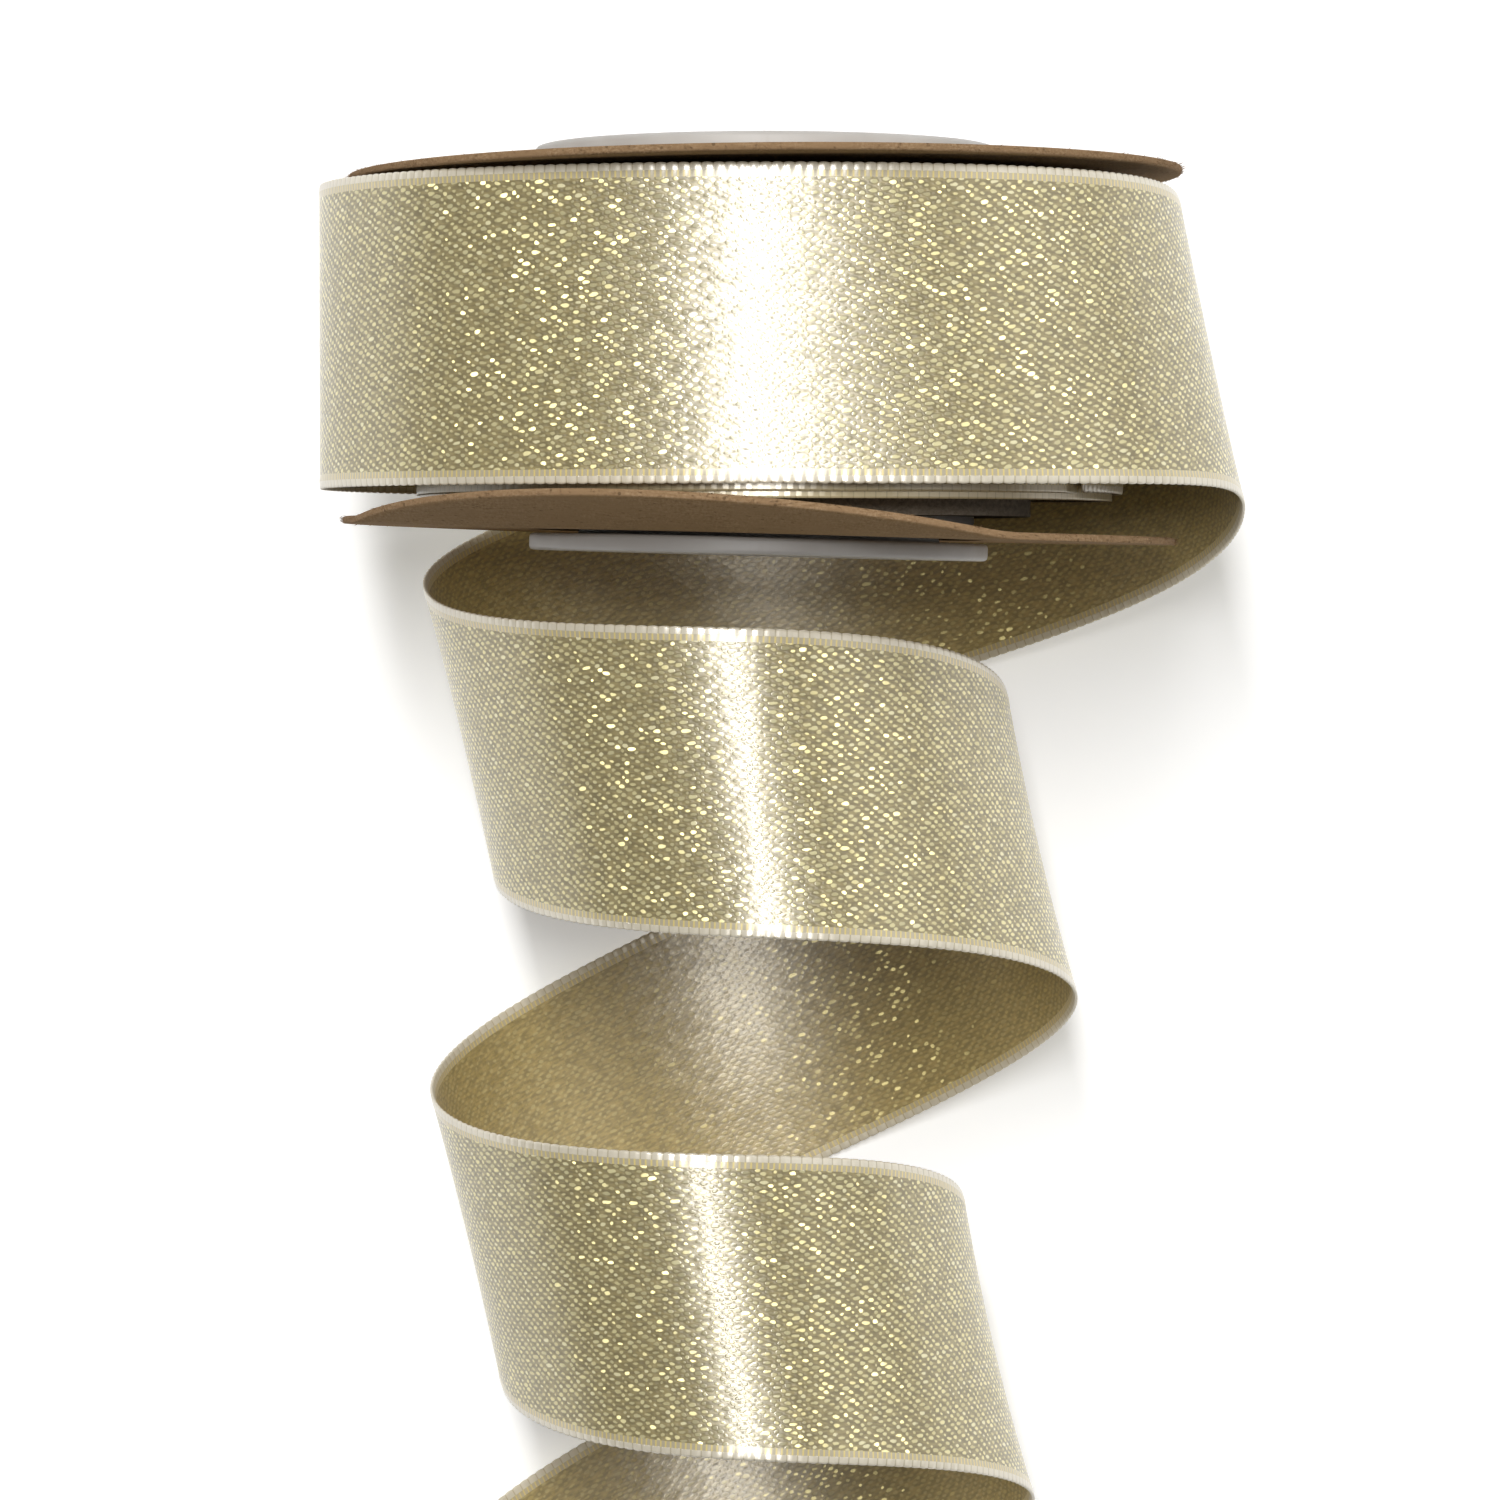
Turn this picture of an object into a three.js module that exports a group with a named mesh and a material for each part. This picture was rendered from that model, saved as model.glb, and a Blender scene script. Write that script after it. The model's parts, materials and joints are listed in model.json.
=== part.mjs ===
// A ribbon spool: two kraft card flanges clamped on a core tube by a two-part plastic hub, a wound pack of
// satin ribbon, and the loose end of the ribbon, which leaves the spool and runs on as springy coils.
// Millimetres, +Z up. The spool lies on its rims with its axis along Y, and the loose coils lie in front.
import * as THREE from "three";

// ---- the spool, measured along its axis from the middle of the ribbon's lower edge to its upper edge ----
const RIBBON_WIDTH = 25;
const RIBBON_THICKNESS = 0.3;
const GAP = 0.3; // the free space left between two pieces that touch

const FLANGE_RADIUS = 34.4;
const FLANGE_HOLE_RADIUS = 17.6;
const FLANGE_THICKNESS = 0.6;
const FLANGE_CLEAR = 28.75; // between the flanges' inner faces
const RIBBON_TO_TOP_FLANGE = 0.55;

const CORE_OUTER_RADIUS = 22;
const CORE_INNER_RADIUS = 17.6;
const TAPE_THICKNESS = 0.3;
const TAPE_WIDTH = 15;
const TAPE_ARC = THREE.MathUtils.degToRad(34);
const PACK_OUTER_RADIUS = 29;

const HUB_RIM_RADIUS = 19;
const HUB_RIM_ROUND = 0.5;
const HUB_RIM_BEVEL = 0.3 * HUB_RIM_ROUND; // where the rounded corner's middle point lies
const SOCKET_RIM_HEIGHT = 1.8;
const PLUG_RIM_HEIGHT = 1.4;
const SOCKET_OUTER_RADIUS = 17.3;
const SOCKET_INNER_RADIUS = 15.9;
const PLUG_OUTER_RADIUS = 14.9;
const PLUG_INNER_RADIUS = 13.8;
const PLUG_DEPTH = 12;

// ---- the flanges sit slightly askew, and the lower one is folded towards the ribbon ----
const TOP_FLANGE_TILT = THREE.MathUtils.degToRad(0.6);
const LOWER_END_TILT = THREE.MathUtils.degToRad(-1.5);
const LOWER_END_SHIFT = -0.3;
const TILT_PIVOT_ABOVE_FLANGE = 8;
const FOLD_TOWARDS = THREE.MathUtils.degToRad(-19); // round the axis from straight up
const FOLD_START = 19; // the crease is a tangent to the hub's rim
const FOLD_END = 22;
const FOLD_SLOPE = 0.182;

// ---- the loose ribbon, by the angle travelled round the axis: 0 on top, 90 on the +X side, 180 below ----
const WRAP_START = -300; // on the pack's surface, under the ribbon's own next turn
const WRAP_END = 90;
const SLACK_START = -200; // the last turn leaves the pack here
const SLACK_END = -95;
const CURL_START = 115; // where the ribbon begins to close in from the slack wrap to the coil
const COIL_START = 270;
const COIL_TURN = 360;
const RIBBON_END = 1000;
const WRAP_HALF_WIDTH = 36.7; // the outermost wrap is slack at its sides
const WRAP_TOP = 30.3;
const WRAP_DROP = 2.3; // along the axis, from the top to the +X side, most of it near the side
const WRAP_DROP_POWER = 8;
const FLANGE_TO_TABLE = 1.4; // the ribbon passes under the flange's rim
const RIBBON_TO_TABLE = 0.1;
const COIL_RADIUS = 24.8;
const COIL_TIGHTENING = 2.1; // each turn
const COIL_PITCH = 42.9;
const COIL_SIDESTEP = -1.55; // each turn
const COIL_CENTRE_X = -0.75;
const COIL_CENTRE_Y = -18.3;
const COIL_SWAY = 6; // the coil's front half runs nearly level and its back half steeply
const COIL_FRONT_RISE = 1.6;
const COIL_SAG = 1.3; // the coil is wider near the table than near its top
const COIL_LEAN = THREE.MathUtils.degToRad(12.4); // the coil's surface leans towards +X
const LEAN_DIP = 0.13; // how far the leaning edges reach below the coil's centre line
const RIBBON_LOW_EDGE = 7.2; // on the spool, where COIL_CENTRE_Y is counted from 0
const LENGTH_GAP = 0.8; // degrees of free space between two lengths of the ribbon

// ---- how finely the round pieces are divided ----
const PAPER_SEGMENTS = 72;
const TUBE_SEGMENTS = 64;
const FLANGE_RINGS = 9;
const TAPE_SEGMENTS = 8;
const FRAME_STEP = 0.5; // degrees, to find the ribbon's direction

// ---- places along the axis ----
const ribbonLow = RIBBON_LOW_EDGE;
const ribbonHigh = ribbonLow + RIBBON_WIDTH;
const topFlangeLow = ribbonHigh + RIBBON_TO_TOP_FLANGE;
const topFlangeHigh = topFlangeLow + FLANGE_THICKNESS;
const lowFlangeHigh = topFlangeLow - FLANGE_CLEAR;
const lowFlangeLow = lowFlangeHigh - FLANGE_THICKNESS;
const hubTop = topFlangeHigh + GAP + SOCKET_RIM_HEIGHT;
const hubBottom = lowFlangeLow - GAP - PLUG_RIM_HEIGHT;
const ribbonMid = (ribbonLow + ribbonHigh) / 2;

// ---- the part's frame: its origin is on the table, below the middle of the whole object ----
const AXIS_HEIGHT = FLANGE_RADIUS + FLANGE_TO_TABLE;
const SPOOL_X = -1.35;
const SPOOL_Y = 38.35;

const kraft = { color: 0x8a6b48, roughness: 0.9, metalness: 0 };
const whitePlastic = { color: 0xd8d3cc, roughness: 0.45, metalness: 0 };
const goldSatin = { color: 0xc9bd93, roughness: 0.35, metalness: 0.35 };
const clearTape = { color: 0xd9cfae, roughness: 0.3, metalness: 0 };

const spool = new THREE.Group();
const ribbonTail = new THREE.Group();
const lowerEnd = new THREE.Group();

function addMesh(group, name, geometry, finish) {
  const mesh = new THREE.Mesh(geometry, new THREE.MeshStandardMaterial(finish));
  mesh.name = name;
  group.add(mesh);
  return mesh;
}

// Turns an object about Z by a small angle and keeps the point of the axis at pivotY in its place.
function tiltAbout(object, pivotY, angle) {
  object.rotation.z = angle;
  object.position.set(pivotY * Math.sin(angle), pivotY * (1 - Math.cos(angle)), 0);
}

// A closed ring turned about Y from points [radius, height], listed so that its faces point outwards.
function turned(outline, segments) {
  const points = outline.map(([radius, height]) => new THREE.Vector2(radius, height));
  points.push(points[0].clone());
  return new THREE.LatheGeometry(points, segments);
}

function ringOutline(inner, outer, low, high) {
  return [
    [inner, low],
    [outer, low],
    [outer, high],
    [inner, high],
  ];
}

function flangeOutline(low, high, rings) {
  const lowSide = [];
  const highSide = [];
  for (let i = 0; i <= rings; i += 1) {
    const radius = THREE.MathUtils.lerp(FLANGE_HOLE_RADIUS, FLANGE_RADIUS, i / rings);
    lowSide.push([radius, low]);
    highSide.unshift([radius, high]);
  }
  return [...lowSide, ...highSide];
}

// How far the folded card rises at a distance from the axis along the fold's direction.
function foldLift(distance) {
  const past = Math.max(0, distance - FOLD_START);
  const crease = FOLD_END - FOLD_START;
  if (past < crease) return (FOLD_SLOPE * past * past) / (2 * crease);
  return FOLD_SLOPE * (past - crease / 2);
}

function folded(geometry) {
  const position = geometry.getAttribute("position");
  for (let i = 0; i < position.count; i += 1) {
    const distance =
      position.getX(i) * Math.sin(FOLD_TOWARDS) + position.getZ(i) * Math.cos(FOLD_TOWARDS);
    position.setY(i, position.getY(i) + foldLift(distance));
  }
  return geometry;
}

function addFlanges() {
  const flat = ringOutline(FLANGE_HOLE_RADIUS, FLANGE_RADIUS, topFlangeLow, topFlangeHigh);
  const topFlange = addMesh(spool, "top_flange", turned(flat, PAPER_SEGMENTS), kraft);
  tiltAbout(topFlange, topFlangeLow, TOP_FLANGE_TILT);
  const rings = flangeOutline(lowFlangeLow, lowFlangeHigh, FLANGE_RINGS);
  addMesh(lowerEnd, "bottom_flange", folded(turned(rings, PAPER_SEGMENTS)), kraft);
}

// The hub's two halves: each has a rim outside its flange and a barrel, and one barrel slides into the other.
function addHub() {
  const socket = [
    [SOCKET_INNER_RADIUS, lowFlangeHigh],
    [SOCKET_OUTER_RADIUS, lowFlangeHigh],
    [SOCKET_OUTER_RADIUS, topFlangeHigh + GAP],
    [HUB_RIM_RADIUS, topFlangeHigh + GAP],
    [HUB_RIM_RADIUS, hubTop - HUB_RIM_ROUND],
    [HUB_RIM_RADIUS - HUB_RIM_BEVEL, hubTop - HUB_RIM_BEVEL],
    [HUB_RIM_RADIUS - HUB_RIM_ROUND, hubTop],
    [SOCKET_INNER_RADIUS, hubTop],
  ];
  addMesh(spool, "hub_socket_half", turned(socket, TUBE_SEGMENTS), whitePlastic);
  const plug = [
    [PLUG_INNER_RADIUS, hubBottom],
    [HUB_RIM_RADIUS - HUB_RIM_ROUND, hubBottom],
    [HUB_RIM_RADIUS - HUB_RIM_BEVEL, hubBottom + HUB_RIM_BEVEL],
    [HUB_RIM_RADIUS, hubBottom + HUB_RIM_ROUND],
    [HUB_RIM_RADIUS, hubBottom + PLUG_RIM_HEIGHT],
    [PLUG_OUTER_RADIUS, hubBottom + PLUG_RIM_HEIGHT],
    [PLUG_OUTER_RADIUS, hubBottom + PLUG_DEPTH],
    [PLUG_INNER_RADIUS, hubBottom + PLUG_DEPTH],
  ];
  addMesh(lowerEnd, "hub_plug_half", turned(plug, TUBE_SEGMENTS), whitePlastic);
}

function addCoreAndPack() {
  const coreLow = lowFlangeHigh + GAP - CORE_OUTER_RADIUS * Math.sin(LOWER_END_TILT);
  const coreHigh = topFlangeLow - GAP - CORE_OUTER_RADIUS * Math.sin(TOP_FLANGE_TILT);
  const core = ringOutline(CORE_INNER_RADIUS, CORE_OUTER_RADIUS, coreLow, coreHigh);
  addMesh(spool, "core_tube", turned(core, TUBE_SEGMENTS), kraft);

  const tapeInner = CORE_OUTER_RADIUS + GAP;
  const tapeOuter = tapeInner + TAPE_THICKNESS;
  const tape = ringOutline(tapeInner, tapeOuter, ribbonMid - TAPE_WIDTH / 2, ribbonMid + TAPE_WIDTH / 2);
  addMesh(spool, "starter_tape", cappedArc(tape, TAPE_SEGMENTS, TAPE_ARC), clearTape);

  const pack = ringOutline(tapeOuter + GAP, PACK_OUTER_RADIUS, ribbonLow, ribbonHigh);
  addMesh(spool, "ribbon_pack", turned(pack, PAPER_SEGMENTS), goldSatin);
}

// A short length of a ring: a box whose long side is bent round the Y axis.
function cappedArc(outline, segments, arc) {
  const [inner, low] = outline[0];
  const [outer, high] = outline[2];
  const box = new THREE.BoxGeometry(arc, high - low, outer - inner, segments, 1, 1);
  const position = box.getAttribute("position");
  for (let i = 0; i < position.count; i += 1) {
    const angle = position.getX(i);
    const radius = (inner + outer) / 2 + position.getZ(i);
    const height = (low + high) / 2 + position.getY(i);
    position.setXYZ(i, radius * Math.sin(angle), height, radius * Math.cos(angle));
  }
  return box;
}

function smooth(value, from, to) {
  return THREE.MathUtils.smoothstep(value, from, to);
}

// The size and place of the oval that the loose ribbon follows at an angle in degrees.
function oval(angle) {
  const hug = PACK_OUTER_RADIUS + GAP + RIBBON_THICKNESS / 2;
  const floor = AXIS_HEIGHT - RIBBON_TO_TABLE - RIBBON_THICKNESS / 2;
  if (angle <= WRAP_END) {
    const slack = smooth(angle, SLACK_START, SLACK_END);
    const lowered = smooth(angle, 0, WRAP_END);
    const halfHeight = hug + (WRAP_TOP - hug) * slack + (floor - WRAP_TOP) * lowered;
    return { x: 0, z: 0, halfWidth: hug + (WRAP_HALF_WIDTH - hug) * slack, halfHeight, sag: 0 };
  }
  const turns = Math.max(0, angle - COIL_TURN) / COIL_TURN;
  const radius = COIL_RADIUS - COIL_TIGHTENING * turns;
  const coiled = smooth(angle, CURL_START, COIL_START);
  return {
    x: (COIL_CENTRE_X + COIL_SIDESTEP * turns) * coiled,
    z: (radius + LEAN_DIP - floor) * coiled,
    halfWidth: WRAP_HALF_WIDTH + (radius - WRAP_HALF_WIDTH) * coiled,
    halfHeight: floor + (radius - floor) * coiled,
    sag: COIL_SAG * coiled,
  };
}

function coilHeight(angle) {
  const radians = THREE.MathUtils.degToRad(angle);
  const turns = (angle - COIL_TURN) / COIL_TURN;
  return (
    COIL_CENTRE_Y -
    COIL_PITCH * turns +
    COIL_SWAY * Math.sin(radians) +
    COIL_FRONT_RISE * Math.cos(radians)
  );
}

// The place along the axis of the ribbon's centre line.
function alongAxis(angle) {
  if (angle <= 0) return ribbonMid;
  if (angle <= WRAP_END) return ribbonMid - WRAP_DROP * (angle / WRAP_END) ** WRAP_DROP_POWER;
  if (angle >= COIL_START) return coilHeight(angle);
  const span = COIL_START - WRAP_END;
  const t = (angle - WRAP_END) / span;
  const slopeIn = (-WRAP_DROP_POWER * WRAP_DROP * span) / WRAP_END;
  const slopeOut = ((coilHeight(COIL_START + 1) - coilHeight(COIL_START - 1)) / 2) * span;
  const startY = ribbonMid - WRAP_DROP;
  return (
    startY * (1 + 2 * t) * (1 - t) ** 2 +
    slopeIn * t * (1 - t) ** 2 +
    coilHeight(COIL_START) * t * t * (3 - 2 * t) +
    slopeOut * t * t * (t - 1)
  );
}

function centreLine(angle) {
  const radians = THREE.MathUtils.degToRad(angle);
  const { x, z, halfWidth, halfHeight, sag } = oval(angle);
  return new THREE.Vector3(
    x + halfWidth * Math.sin(radians) - sag * Math.sin(2 * radians),
    alongAxis(angle),
    z + halfHeight * Math.cos(radians),
  );
}

function lean(angle) {
  const sine = Math.sin(THREE.MathUtils.degToRad(angle));
  if (angle <= 0) return 0;
  return angle <= WRAP_END ? COIL_LEAN * sine * sine : COIL_LEAN * sine;
}

// The ribbon's centre, its direction across the width (towards -Y) and its outward direction.
function ribbonFrame(angle) {
  const centre = centreLine(angle);
  const along = centreLine(angle + FRAME_STEP).sub(centreLine(angle - FRAME_STEP)).normalize();
  const radians = THREE.MathUtils.degToRad(angle);
  const { halfWidth, halfHeight } = oval(angle);
  const out = new THREE.Vector3(halfHeight * Math.sin(radians), 0, halfWidth * Math.cos(radians));
  out.addScaledVector(along, -out.dot(along)).normalize();
  const across = along.clone().cross(out).normalize();
  const tilt = lean(angle);
  const leaningAcross = across.clone().multiplyScalar(Math.cos(tilt)).addScaledVector(out, Math.sin(tilt));
  const leaningOut = out.multiplyScalar(Math.cos(tilt)).addScaledVector(across, -Math.sin(tilt));
  return { centre, across: leaningAcross, out: leaningOut };
}

// One length of the loose ribbon: a thin box whose long side is bent along the centre line.
function ribbonLength(from, to, segments) {
  const box = new THREE.BoxGeometry(1, RIBBON_WIDTH, RIBBON_THICKNESS, segments, 1, 1);
  const position = box.getAttribute("position");
  for (let i = 0; i < position.count; i += 1) {
    const { centre, across, out } = ribbonFrame(
      THREE.MathUtils.lerp(from, to, position.getX(i) + 0.5),
    );
    const point = centre
      .addScaledVector(across, -position.getY(i))
      .addScaledVector(out, position.getZ(i));
    position.setXYZ(i, point.x, point.y, point.z);
  }
  return box;
}

function addRibbonTail() {
  const cut = LENGTH_GAP / 2;
  const secondCoil = COIL_START + COIL_TURN;
  const lengths = [
    ["ribbon_outer_wrap", WRAP_START, WRAP_END - cut, 78],
    ["ribbon_crossover", WRAP_END + cut, COIL_START - cut, 36],
    ["ribbon_coil_1", COIL_START + cut, secondCoil - cut, 72],
    ["ribbon_coil_2", secondCoil + cut, RIBBON_END, 74],
  ];
  for (const [name, from, to, segments] of lengths) {
    addMesh(ribbonTail, name, ribbonLength(from, to, segments), goldSatin);
  }
}

addFlanges();
addHub();
addCoreAndPack();
addRibbonTail();

tiltAbout(lowerEnd, lowFlangeHigh + TILT_PIVOT_ABOVE_FLANGE, LOWER_END_TILT);
lowerEnd.position.x += LOWER_END_SHIFT;
spool.add(lowerEnd);

const ribbonSpool = new THREE.Group();
ribbonSpool.name = "ribbon_spool";
ribbonSpool.add(spool, ribbonTail);
ribbonSpool.position.set(SPOOL_X, SPOOL_Y, AXIS_HEIGHT);

export default ribbonSpool;
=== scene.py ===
# %% [markdown]
# # A spool of gold satin ribbon, partly unrolled
# The object is a gift-wrap ribbon spool that lies on the rims of its two card discs. About half a metre of the
# ribbon has sprung off in two loose coils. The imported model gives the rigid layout, and this notebook gives each
# piece its real surface: a woven ribbon, die-cut kraft card and moulded plastic.

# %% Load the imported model
import json
import math
import random
from bisect import bisect_left

import bmesh
import bpy
from mathutils import Matrix, Vector


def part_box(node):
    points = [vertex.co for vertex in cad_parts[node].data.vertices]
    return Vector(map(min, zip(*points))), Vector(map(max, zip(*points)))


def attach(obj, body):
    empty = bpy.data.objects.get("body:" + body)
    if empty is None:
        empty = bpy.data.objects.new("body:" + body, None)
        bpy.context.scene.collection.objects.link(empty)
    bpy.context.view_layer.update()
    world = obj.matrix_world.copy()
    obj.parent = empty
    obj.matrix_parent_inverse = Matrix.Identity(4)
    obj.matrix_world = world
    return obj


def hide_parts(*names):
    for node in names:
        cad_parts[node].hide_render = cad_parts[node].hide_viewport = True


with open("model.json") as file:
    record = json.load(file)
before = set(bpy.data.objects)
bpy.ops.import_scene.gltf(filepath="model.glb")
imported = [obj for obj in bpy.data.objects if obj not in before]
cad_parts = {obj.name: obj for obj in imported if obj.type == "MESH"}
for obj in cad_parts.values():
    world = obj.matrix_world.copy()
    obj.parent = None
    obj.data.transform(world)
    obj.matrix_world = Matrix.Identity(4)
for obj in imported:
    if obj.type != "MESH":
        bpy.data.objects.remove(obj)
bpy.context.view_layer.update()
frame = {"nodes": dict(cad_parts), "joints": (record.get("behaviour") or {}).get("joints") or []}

# %% [markdown]
# Everything on the spool is measured from its axis, so one helper turns a place given from the axis, in
# millimetres, into the model's own frame in metres. The axis comes from the joint on which the ribbon unwinds,
# and the place along it from the lower edge of the wound ribbon.

# %% The spool's own frame
MM = 0.001
AXIS_X, AXIS_HEIGHT = frame["joints"][0]["pos_m"][0], frame["joints"][0]["pos_m"][2]
RIBBON_LOW_EDGE = 7.2
SPOOL_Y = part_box("ribbon_pack")[0].y - RIBBON_LOW_EDGE * MM


def from_axis(x, y, z):
    return Vector((AXIS_X + x * MM, SPOOL_Y + y * MM, AXIS_HEIGHT + z * MM))


print("spool axis:", [round(v, 5) for v in from_axis(0, 0, 0)])

# %% [markdown]
# The camera comes first, because it decides which sides need the most care. It looks straight down on the table
# with a long lens, so that the coils show almost no perspective, and it leans very slightly towards the loose end.

# %% Camera above the table
camera_data = bpy.data.cameras.new("camera_above")
camera_data.sensor_width = 36
camera_data.lens = 143.3
camera = bpy.data.objects.new("camera_above", camera_data)
camera.location = from_axis(-1.25, 0, 495.3)
camera.rotation_euler = (math.radians(-1.669), 0, 0)
bpy.context.scene.collection.objects.link(camera)
bpy.context.scene.camera = camera
print("camera height over the table, m:", round(camera.location.z, 3))

# %% [markdown]
# The ribbon is one continuous strip. Its route is counted in degrees travelled round the axis: 0 is on top of the
# spool, 90 is on its +X side, and the coils go on to 1000. Up to 90 degrees the strip is wound slackly on the
# spool, then it passes under the lower disc and closes in to the springy coils. The same few sizes drive the
# rigid model, so the soft strip lies where its collision shape does.

# %% Sizes of the ribbon's route, in millimetres and degrees
RIBBON_WIDTH = 25
RIBBON_THICKNESS = 0.28
PACK_RADIUS = 29
HUG_RADIUS = 29.45
FLOOR_LINE = AXIS_HEIGHT / MM - 0.25
WRAP_START, WRAP_END = -300, 90
SLACK_START, SLACK_END = -200, -95
WRAP_HALF_WIDTH, WRAP_TOP = 36.7, 30.3
WRAP_DROP, WRAP_DROP_POWER = 2.3, 8
CURL_START, COIL_START, COIL_TURN, RIBBON_END = 115, 270, 360, 1000
COIL_RADIUS, COIL_TIGHTENING, COIL_PITCH = 24.8, 2.1, 42.9
COIL_CENTRE_X, COIL_CENTRE_Y, COIL_SIDESTEP = -0.75, -18.3, -1.55
COIL_SWAY, COIL_FRONT_RISE, COIL_SAG = 6, 1.6, 1.3
COIL_LEAN = math.radians(12.4)
LEAN_DIP = 0.13
RIBBON_MID = RIBBON_LOW_EDGE + RIBBON_WIDTH / 2
TUCKED_START, TUCK_FROM, TUCK_TO = 0.5, -200, -60


def smooth(value, low, high):
    t = min(1, max(0, (value - low) / (high - low)))
    return t * t * (3 - 2 * t)


def mix(a, b, share):
    return a + (b - a) * share


# %% The oval that the strip follows at each angle
def oval(angle):
    if angle <= WRAP_END:
        slack = smooth(angle, SLACK_START, SLACK_END)
        lowered = smooth(angle, 0, WRAP_END)
        height = mix(HUG_RADIUS, WRAP_TOP, slack) + (FLOOR_LINE - WRAP_TOP) * lowered
        return 0, 0, mix(HUG_RADIUS, WRAP_HALF_WIDTH, slack), height, 0
    turns = max(0, angle - COIL_TURN) / COIL_TURN
    radius = COIL_RADIUS - COIL_TIGHTENING * turns
    coiled = smooth(angle, CURL_START, COIL_START)
    x = (COIL_CENTRE_X + COIL_SIDESTEP * turns) * coiled
    z = (radius + LEAN_DIP - FLOOR_LINE) * coiled
    return x, z, mix(WRAP_HALF_WIDTH, radius, coiled), mix(FLOOR_LINE, radius, coiled), COIL_SAG * coiled


# %% The strip's place along the axis
def coil_height(angle):
    turn = math.radians(angle)
    steps = (angle - COIL_TURN) / COIL_TURN
    return COIL_CENTRE_Y - COIL_PITCH * steps + COIL_SWAY * math.sin(turn) + COIL_FRONT_RISE * math.cos(turn)


def along_axis(angle):
    if angle <= 0:
        return RIBBON_MID - TUCKED_START * (1 - smooth(angle, TUCK_FROM, TUCK_TO))
    if angle <= WRAP_END:
        return RIBBON_MID - WRAP_DROP * (angle / WRAP_END) ** WRAP_DROP_POWER
    if angle >= COIL_START:
        return coil_height(angle)
    span = COIL_START - WRAP_END
    t = (angle - WRAP_END) / span
    slope_in = -WRAP_DROP_POWER * WRAP_DROP * span / WRAP_END
    slope_out = (coil_height(COIL_START + 1) - coil_height(COIL_START - 1)) / 2 * span
    return (
        (RIBBON_MID - WRAP_DROP) * (1 + 2 * t) * (1 - t) ** 2
        + slope_in * t * (1 - t) ** 2
        + coil_height(COIL_START) * t * t * (3 - 2 * t)
        + slope_out * t * t * (t - 1)
    )


# %% [markdown]
# At each place the strip needs three directions: along its length, out of its face, and across its width. The
# coils lean towards +X, as a spring of flat ribbon does when its turns lie on a table.

# %% The strip's centre line and its three directions
def centre_line(angle):
    turn = math.radians(angle)
    x, z, width, height, sag = oval(angle)
    return from_axis(
        x + width * math.sin(turn) - sag * math.sin(2 * turn), along_axis(angle), z + height * math.cos(turn)
    )


def loose_frame(angle):
    along = (centre_line(angle + 0.5) - centre_line(angle - 0.5)).normalized()
    turn = math.radians(angle)
    _, _, width, height, _ = oval(angle)
    out = Vector((height * math.sin(turn), 0, width * math.cos(turn)))
    out = (out - along * out.dot(along)).normalized()
    across = along.cross(out).normalized()
    lean = 0
    if angle > 0:
        lean = COIL_LEAN * math.sin(turn) ** (2 if angle <= WRAP_END else 1)
    leaning_across = across * math.cos(lean) + out * math.sin(lean)
    leaning_out = out * math.cos(lean) - across * math.sin(lean)
    return centre_line(angle), leaning_across, leaning_out


# %% [markdown]
# The wound part is a spiral of about twenty tight turns. Turns that were pushed about on the shelf no longer
# line up: the outermost ones have slipped down or up by half a millimetre, which shows as a stepped edge.

# %% The wound turns
PACK_END, TURN_STEP, INNERMOST = WRAP_START, 0.3, 22.95
OUTERMOST = PACK_RADIUS - RIBBON_THICKNESS / 2 - 0.02
PACK_TURNS = (OUTERMOST - INNERMOST) / TURN_STEP
PACK_START = PACK_END - 360 * PACK_TURNS
SLIPS = [-0.55, -1.1, -0.75, -0.2, 0.1, -0.3, 0.05, -0.15, 0.1]
DEEPER_SLIP = -0.1
STEP_ZONE = (0.55, 1)


def slip(angle):
    turns_in = (PACK_END - angle) / 360
    index = int(turns_in)
    if index + 1 >= len(SLIPS):
        return DEEPER_SLIP
    return mix(SLIPS[index], SLIPS[index + 1], smooth(turns_in - index, *STEP_ZONE))


def wound_frame(angle):
    turn = math.radians(angle)
    radius = OUTERMOST + TURN_STEP * (angle - PACK_END) / 360
    out = Vector((math.sin(turn), 0, math.cos(turn)))
    centre = from_axis(radius * out.x, RIBBON_MID + slip(angle), radius * out.z)
    return centre, Vector((0, -1, 0)), out


print("turns on the spool:", round(PACK_TURNS, 1))

# %% [markdown]
# A strip is made flat first, exactly as long as its route, and then bent. The flat sheet gets its thickness and
# its flat coordinates as a UV map in metres, so the weave keeps its true size on every bend. The woven edges are
# little rounded loops, which need a fine spacing: four steps to a loop.

# %% Bend a flat strip along a route
LOOP_PITCH, LOOP_STEPS = 0.91, 4
LOOP_ROUNDNESS, LOOP_SWELL, LOOP_INSET, RIM_THINNING = 0.6, 0.3, 0.09, 0.6
RIM_START, RIM_WIDTH = 11.8, 0.7
FRAMES_A_STEP = 8
WOUND_SPACING = 2.2
WIDTH_LINES = [-12.5, -12.32, -11.9, -11.3, -6, 0, 6, 11.3, 11.9, 12.32, 12.5]


def measured_route(place, start, end, step=1.0):
    count = max(2, round((end - start) / step))
    angles = [mix(start, end, i / count) for i in range(count + 1)]
    centres = [place(a)[0] for a in angles]
    lengths = [0.0]
    for a, b in zip(centres, centres[1:]):
        lengths.append(lengths[-1] + (b - a).length)
    return angles, lengths


def angle_at(length, angles, lengths):
    i = min(max(1, bisect_left(lengths, length)), len(lengths) - 1)
    share = (length - lengths[i - 1]) / (lengths[i] - lengths[i - 1])
    return mix(angles[i - 1], angles[i], share)


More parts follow.
